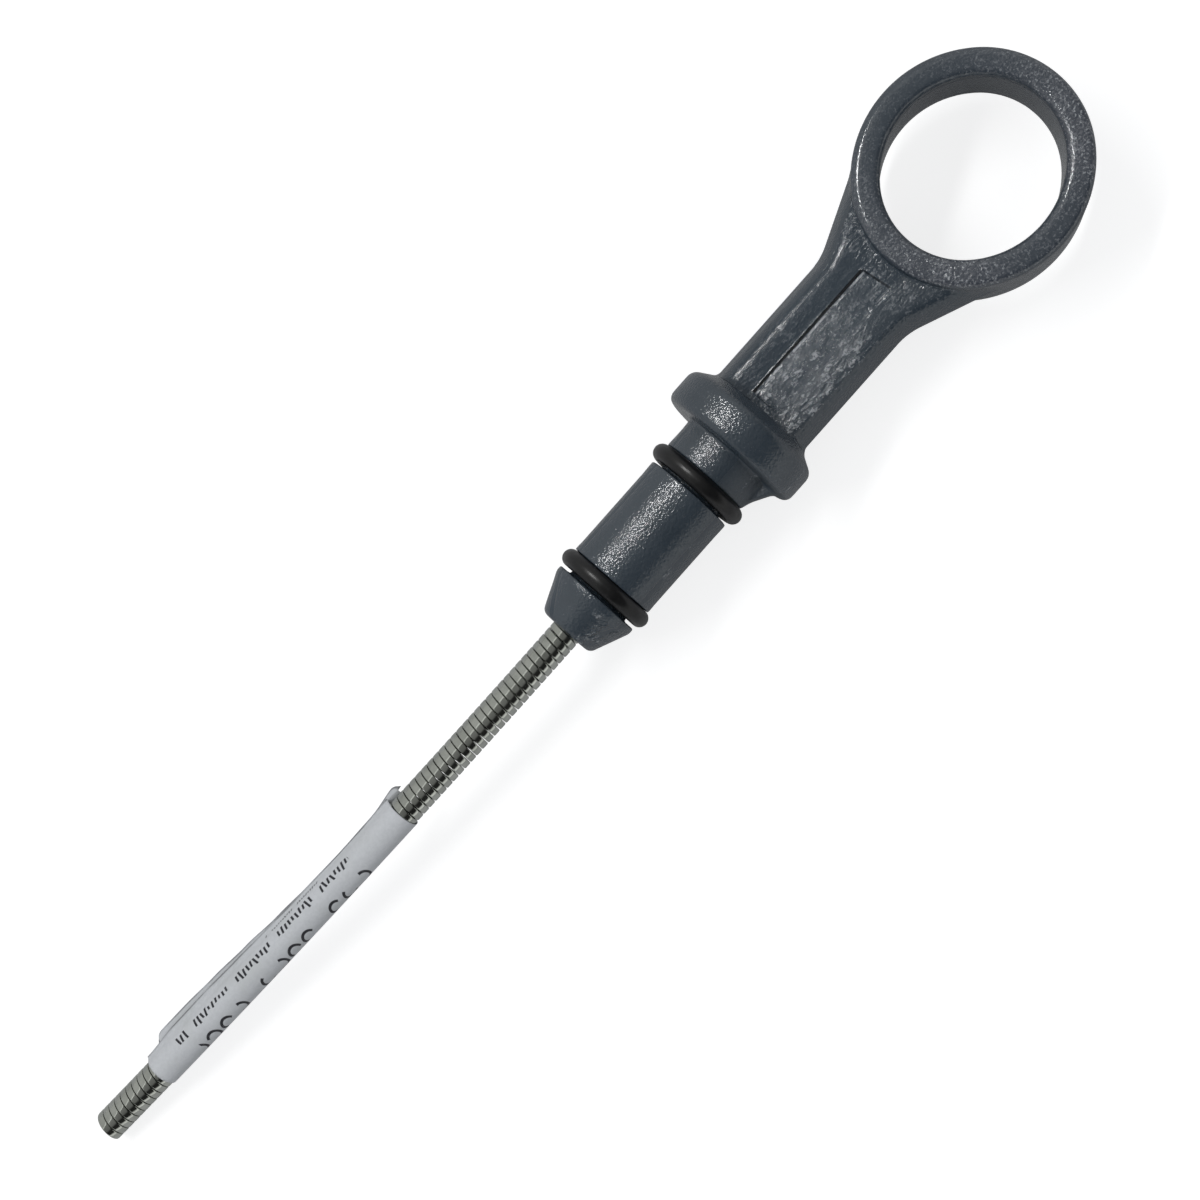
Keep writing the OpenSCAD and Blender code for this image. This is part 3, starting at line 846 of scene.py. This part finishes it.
def run_nodes(name, tree, inputs):
    """Runs a tree on an empty mesh and returns its result, with flat faces kept flat, as a plain object."""
    carrier = bpy.data.objects.new(name + "_carrier", bpy.data.meshes.new(name + "_carrier"))
    bpy.context.scene.collection.objects.link(carrier)
    modifier = carrier.modifiers.new("nodes", "NODES")
    modifier.node_group = tree
    normals = carrier.modifiers.new("normals", "WEIGHTED_NORMAL")
    normals.mode = "FACE_AREA"
    normals.weight = 50
    for item in tree.interface.items_tree:
        if item.in_out == "INPUT" and item.name in inputs:
            modifier[item.identifier] = inputs[item.name]
    graph = bpy.context.evaluated_depsgraph_get()
    evaluated = carrier.evaluated_get(graph)
    mesh = bpy.data.meshes.new_from_object(evaluated, preserve_all_data_layers=True, depsgraph=graph)
    bpy.data.objects.remove(carrier)
    mesh.name = name
    piece = bpy.data.objects.new(name, mesh)
    bpy.context.scene.collection.objects.link(piece)
    return piece


def coil_piece():
    """The sprung rod, from inside the nose to its straight cut end."""
    turns = (ROD_GRIP - ROD_FLOOR_GAP + ARC_LENGTH - WIRE_WIDTH) / TURN_PITCH
    return run_nodes("wound_wire_rod", coil_tree(), {
        "Turns": turns,
        "Turn pitch": TURN_PITCH,
        "Rod radius": ROD_R,
        "Wire width": WIRE_WIDTH,
        "Wire thickness": WIRE_THICKNESS,
        "Wire edge radius": WIRE_EDGE_R,
        "First turn": ROD_FLOOR_GAP - ROD_GRIP,
        "Nose": NOSE_X,
        "Arc radius": ARC_R,
        "Lean": ROD_LEAN,
        "Steps along the wire": int(turns * TURN_STEPS),
        "Finish": ROD_STEEL,
    })


def on_rod(s, y, z):
    """The points of the rod's section at (y, z), a length s out from the nose along the sagging rod."""
    bend = np.maximum(s, 0) / ARC_R
    down = -y * math.sin(ROD_LEAN) - z * math.cos(ROD_LEAN)
    across = -y * math.cos(ROD_LEAN) + z * math.sin(ROD_LEAN)
    fall = ARC_R * (1 - np.cos(bend)) + down * np.cos(bend)
    ahead = NOSE_X + np.minimum(s, 0) + (ARC_R - down) * np.sin(bend)
    sideways = -fall * math.sin(ROD_LEAN) - across * math.cos(ROD_LEAN)
    height = -fall * math.cos(ROD_LEAN) + across * math.sin(ROD_LEAN)
    return np.stack([ahead, sideways, height], axis=-1)


# The paper label

def along(values, share):
    """A value from an even list, at a share of its length, smoothed between its points."""
    place = share * (len(values) - 1)
    i = np.minimum(np.floor(place).astype(int), len(values) - 2)
    f = place - i
    s = f * f * (3 - 2 * f)
    values = np.array(values)
    return values[i] * (1 - s) + values[i + 1] * s


def label_piece(rows=180, fin_steps=8, wrap_steps=56):
    """A slip of paper wrapped round the rod, with its over end and its under end left as a short flag."""
    paper_r = ROD_R + PAPER_GAP + PAPER_THICKNESS / 2
    pinch = math.acos(paper_r / PINCH_R)
    share = np.linspace(0, 1, rows)
    over = along(OVER_END, share)
    from_end = np.minimum(share, 1 - share) * LABEL_LENGTH
    inset = np.clip(2 * UNDER_CORNER * from_end - from_end ** 2, 0, None)
    loss = np.where(from_end < UNDER_CORNER, UNDER_CORNER - np.sqrt(inset), 0)
    under = np.maximum(along(UNDER_END, share) - loss, PINCH_R + PAPER_THICKNESS)

    # Across the slip: the over end, the wrap and the under end, and which way the paper faces at each point
    y, z, away = [], [], []
    half_gap = FIN_GAP + PAPER_THICKNESS / 2
    for i in range(fin_steps):
        y.append(-over + (over - PINCH_R) * i / fin_steps)
        z.append(np.full(rows, half_gap))
        away.append(math.pi / 2)
    for i in range(wrap_steps + 1):
        angle = math.pi - pinch - (2 * math.pi - 2 * pinch) * i / wrap_steps
        y.append(np.full(rows, paper_r * math.cos(angle)))
        z.append(np.full(rows, paper_r * math.sin(angle)))
        away.append(angle)
    for i in range(fin_steps - 1, -1, -1):
        y.append(-under + (under - PINCH_R) * i / fin_steps)
        z.append(np.full(rows, -half_gap))
        away.append(-math.pi / 2)
    y, z = np.array(y), np.array(z)
    away = np.array(away)[:, None]

    # Where each point lies on the flat paper, and how far the under end has slid along the rod
    across = len(y)
    steps_mm = np.hypot(np.diff(y, axis=0), np.diff(z, axis=0))
    from_over = np.concatenate([np.zeros((1, rows)), np.cumsum(steps_mm, axis=0)])
    round_mm = from_over[fin_steps + wrap_steps // 2] - from_over
    part = (np.arange(across) / (across - 1))[:, None]
    s = LABEL_START + share[None, :] * LABEL_LENGTH - UNDER_SLIDE * part ** 3

    # The paper's two skins make one closed loop in each row, and the first and last rows are capped
    skins = []
    for skin in (1, -1):
        off = skin * PAPER_THICKNESS / 2
        skins.append(on_rod(s, y + off * np.cos(away), z + off * np.sin(away)))
    loop = np.concatenate([skins[0], skins[1][::-1]])
    points = loop.transpose(1, 0, 2).reshape(-1, 3)
    layouts = {
        "paper_mm": np.stack([s, round_mm], axis=-1),
        "edge_mm": np.stack([from_over, from_over[-1] - from_over], axis=-1),
    }
    count = 2 * across
    faces = []
    for row in range(rows - 1):
        here, ahead = row * count, (row + 1) * count
        for k in range(count):
            m = (k + 1) % count
            faces.append((here + k, ahead + k, ahead + m, here + m))
    end = (rows - 1) * count
    for k in range(across - 1):
        faces.append((k, k + 1, count - 2 - k, count - 1 - k))
        faces.append((end + count - 1 - k, end + count - 2 - k, end + k + 1, end + k))
    piece = mesh_piece("wrapped_label", points, faces, LABEL_PAPER)
    corners = np.empty(len(piece.data.loops), np.int32)
    piece.data.loops.foreach_get("vertex_index", corners)
    for name, flat in layouts.items():
        flat = np.concatenate([flat, flat[::-1]]).transpose(1, 0, 2).reshape(-1, 2)
        piece.data.uv_layers.new(name=name).data.foreach_set("uv", flat[corners].astype(np.float32).ravel())
    return piece


handle = handle_piece()
add_piece(handle, "handle")
upper_ring = rubber_ring_piece("upper_cord_ring", UPPER_RING_R, UPPER_GROOVE)
add_piece(upper_ring, "upper_rubber_ring")
lower_ring = rubber_ring_piece("lower_cord_ring", LOWER_RING_R, LOWER_GROOVE)
add_piece(lower_ring, "lower_rubber_ring")
add_piece(coil_piece(), "sprung_rod")
add_piece(label_piece(), "paper_label")


# How bright the room is for what shines, by its bearing in degrees from overhead towards +Y
ROOM_STOPS = (
    (-180, 0.4), (-95, 0.46), (-60, 0.5), (-21, 0.5), (-19, 1.1), (-16.5, 1.1), (-14, 0.24),
    (25, 0.17), (38, 0.02), (67, 0.02), (77, 0.8), (97, 0.75), (180, 0.4),
)
ROOM_LIGHT = 0.34

# The floor: its colour, its half width in metres, and how brightly it glows for the camera, and for what
# shines, on top of the light that falls on it
FLOOR_GREY = (0.5, 0.5, 0.5, 1)
FLOOR_HALF_WIDTH = 3.0
FLOOR_GLOW = 0.75
FLOOR_GLOW_IN_SHINE = 0.05


# Camera: the photograph's view, over the finger ring's face and a little to the rib's side. AXIS_IN_PICTURE
# is the direction of +X in the picture, counted from its right side towards its top.

VIEW_DISTANCE = 360.0
VIEW_FOCAL = 2538.0
VIEW_AIM = Vector((27.7, 0.57, 0.0))
VIEW_ROLL = math.radians(7.25)
AXIS_IN_PICTURE = math.atan2(-0.7406, -0.6719) + math.radians(0.65)
PICTURE_WIDTH = 1200
SENSOR = 36.0


def add_camera():
    away = Vector((0, math.sin(VIEW_ROLL), math.cos(VIEW_ROLL)))
    beside = Vector((0, math.cos(VIEW_ROLL), -math.sin(VIEW_ROLL)))
    ahead = Vector((1, 0, 0))
    c, s = math.cos(AXIS_IN_PICTURE), math.sin(AXIS_IN_PICTURE)
    right = ahead * c - beside * s
    up = ahead * s + beside * c
    turn = Matrix((right, up, away)).transposed().to_4x4()
    lens = bpy.data.cameras.new("camera")
    lens.lens = VIEW_FOCAL / PICTURE_WIDTH * SENSOR
    lens.sensor_width = SENSOR
    lens.clip_start = 0.01
    lens.clip_end = 20
    camera = bpy.data.objects.new("camera", lens)
    camera.matrix_world = Matrix.Translation((VIEW_AIM + away * VIEW_DISTANCE) * MM) @ turn
    bpy.context.scene.collection.objects.link(camera)
    bpy.context.scene.camera = camera


def area_light(name, place, aim, size, power, lights, pieces=()):
    """A soft box that lights only a surface's body colour or only its shine, on all the pieces or a few."""
    light = bpy.data.lights.new(name, "AREA")
    light.shape = "RECTANGLE"
    light.size, light.size_y = size
    light.energy = power
    lamp = bpy.data.objects.new(name, light)
    lamp.visible_glossy = lights == "shine"
    lamp.visible_diffuse = lights == "body"
    lamp.location = place
    lamp.rotation_euler = (Vector(aim) - Vector(place)).to_track_quat("-Z", "Y").to_euler()
    bpy.context.scene.collection.objects.link(lamp)
    if pieces:
        lit = bpy.data.collections.new("lit_by_" + name)
        for piece in pieces:
            lit.objects.link(piece)
        lamp.light_linking.receiver_collection = lit


def add_floor():
    """A pale floor under the collar's rim, seen as white by the camera apart from the object's shadow."""
    half = FLOOR_HALF_WIDTH
    level = -COLLAR_R * MM
    corners = [(-half, -half, level), (half, -half, level), (half, half, level), (-half, half, level)]
    mesh = bpy.data.meshes.new("floor")
    mesh.from_pydata(corners, [], [(0, 1, 2, 3)])
    material, shader = new_material("floor_white")
    shader.inputs["Base Color"].default_value = FLOOR_GREY
    shader.inputs["Roughness"].default_value = 0.8
    tree = material.node_tree
    path = tree.nodes.new("ShaderNodeLightPath")
    shone = Number(tree, path.outputs["Is Glossy Ray"]) * FLOOR_GLOW_IN_SHINE
    seen = Number(tree, path.outputs["Is Camera Ray"]).combined("MULTIPLY_ADD", FLOOR_GLOW, shone)
    glow = tree.nodes.new("ShaderNodeEmission")
    tree.links.new(seen.socket, glow.inputs["Strength"])
    both = tree.nodes.new("ShaderNodeAddShader")
    tree.links.new(shader.outputs["BSDF"], both.inputs[0])
    tree.links.new(glow.outputs["Emission"], both.inputs[1])
    output = next(node for node in tree.nodes if node.type == "OUTPUT_MATERIAL")
    tree.links.new(both.outputs["Shader"], output.inputs["Surface"])
    mesh.materials.append(material)
    floor = bpy.data.objects.new("floor", mesh)
    bpy.context.scene.collection.objects.link(floor)


def add_world():
    """Even light all round. What shines sees a room with brighter and darker strips along the object instead,
    and the camera sees a white background."""
    world = bpy.data.worlds.new("studio")
    bpy.context.scene.world = world
    world.use_nodes = True
    tree = world.node_tree
    background = tree.nodes["Background"]
    background.inputs["Strength"].default_value = 1.0
    path = tree.nodes.new("ShaderNodeLightPath")
    toward = tree.nodes.new("ShaderNodeTexCoord")
    apart = tree.nodes.new("ShaderNodeSeparateXYZ")
    tree.links.new(toward.outputs["Generated"], apart.inputs[0])
    bearing = Number(tree, apart.outputs["Y"]).combined("ARCTAN2", Number(tree, apart.outputs["Z"]))
    share = tree.nodes.new("ShaderNodeMapRange")
    share.inputs["From Min"].default_value = -math.pi
    share.inputs["From Max"].default_value = math.pi
    tree.links.new(bearing.socket, share.inputs["Value"])
    room = tree.nodes.new("ShaderNodeValToRGB")
    tree.links.new(share.outputs["Result"], room.inputs["Fac"])
    stops = room.color_ramp.elements
    while len(stops) < len(ROOM_STOPS):
        stops.new(0.5)
    for stop, (degrees, level) in zip(stops, ROOM_STOPS):
        stop.position = (degrees + 180) / 360
        stop.color = (level, level * 1.01, level * 0.99, 1)
    even = (ROOM_LIGHT * 0.97, ROOM_LIGHT, ROOM_LIGHT * 1.04, 1)
    white = (1, 1, 1, 1)
    shine = tree.nodes.new("ShaderNodeMix")
    shine.data_type = "RGBA"
    tree.links.new(path.outputs["Is Glossy Ray"], shine.inputs["Factor"])
    shine.inputs["A"].default_value = even
    tree.links.new(room.outputs["Color"], shine.inputs["B"])
    seen = tree.nodes.new("ShaderNodeMix")
    seen.data_type = "RGBA"
    tree.links.new(path.outputs["Is Camera Ray"], seen.inputs["Factor"])
    tree.links.new(shine.outputs["Result"], seen.inputs["A"])
    seen.inputs["B"].default_value = white
    tree.links.new(seen.outputs["Result"], background.inputs["Color"])


add_camera()
add_floor()
add_world()

# A long soft box for the body colour, a short strip for the streaks on the plastic and the rubber, which
# would leave hard dots on the rod, and a fill from the other side. Places and sizes are in metres.
area_light(
    "key_softbox",
    place=(0.14, -0.258, 0.43),
    aim=(0.02, 0, 0),
    size=(0.5, 0.05),
    power=1.25,
    lights="body",
)
area_light(
    "shine_strip",
    place=(-0.008, -0.235, 0.39),
    aim=(-0.008, 0, 0),
    size=(0.084, 0.02),
    power=0.65,
    lights="shine",
    pieces=[handle, upper_ring, lower_ring],
)
area_light(
    "fill_softbox",
    place=(-0.1, 0.40, 0.45),
    aim=(0.03, 0, 0),
    size=(0.4, 0.3),
    power=0.3,
    lights="body",
)
bpy.context.scene.view_settings.view_transform = "Standard"
